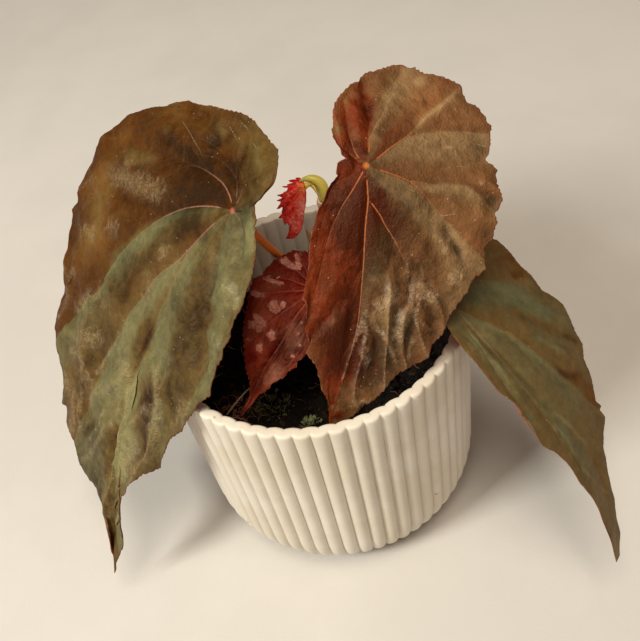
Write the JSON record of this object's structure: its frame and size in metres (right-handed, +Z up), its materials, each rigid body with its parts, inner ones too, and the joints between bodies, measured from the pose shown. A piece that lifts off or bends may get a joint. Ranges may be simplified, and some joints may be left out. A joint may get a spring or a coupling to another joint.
{
  "type": "potted begonia",
  "caption": "Young painted-leaf begonia with large olive and copper drip-tipped leaves, growing from a short stem in a small ribbed ceramic pot.",
  "frame": {"origin": "middle of the pot's flat underside", "axes": "+Z up along the pot's axis; -Y towards the side that the picture was taken from; +X to the right as seen from there"},
  "size_m": [0.174, 0.1391, 0.1501],
  "materials": {
    "pot": "matt warm white, bisque-like",
    "soil": "damp dark potting compost",
    "stem": "fleshy, pale green-pink, satin",
    "stalk": "fleshy, orange-red, satin",
    "blade_olive": "leaf tissue, olive bronze with a satin sheen",
    "blade_copper": "leaf tissue, copper red with a satin sheen",
    "blade_wine": "young leaf tissue, wine red",
    "blade_crimson": "newest leaf tissue, crimson",
    "stipule_green": "fleshy scale, lime green",
    "stipule_dry": "thin dried scale, straw"
  },
  "bodies": {
    "root": {"pot": "pot", "soil": "soil", "stem": "stem", "leaf_left": "blade_olive", "leaf_right": "blade_copper", "leaf_back_right": "blade_olive", "leaf_centre": "blade_wine", "leaf_young": "blade_crimson", "stalk_left": "stalk", "stalk_right": "stalk", "stalk_back_right": "stalk", "stalk_centre": "stalk", "stalk_young": "stipule_green", "stipule_tip": "stipule_green", "stipule_dry": "stipule_dry"}
  },
  "joints": []
}
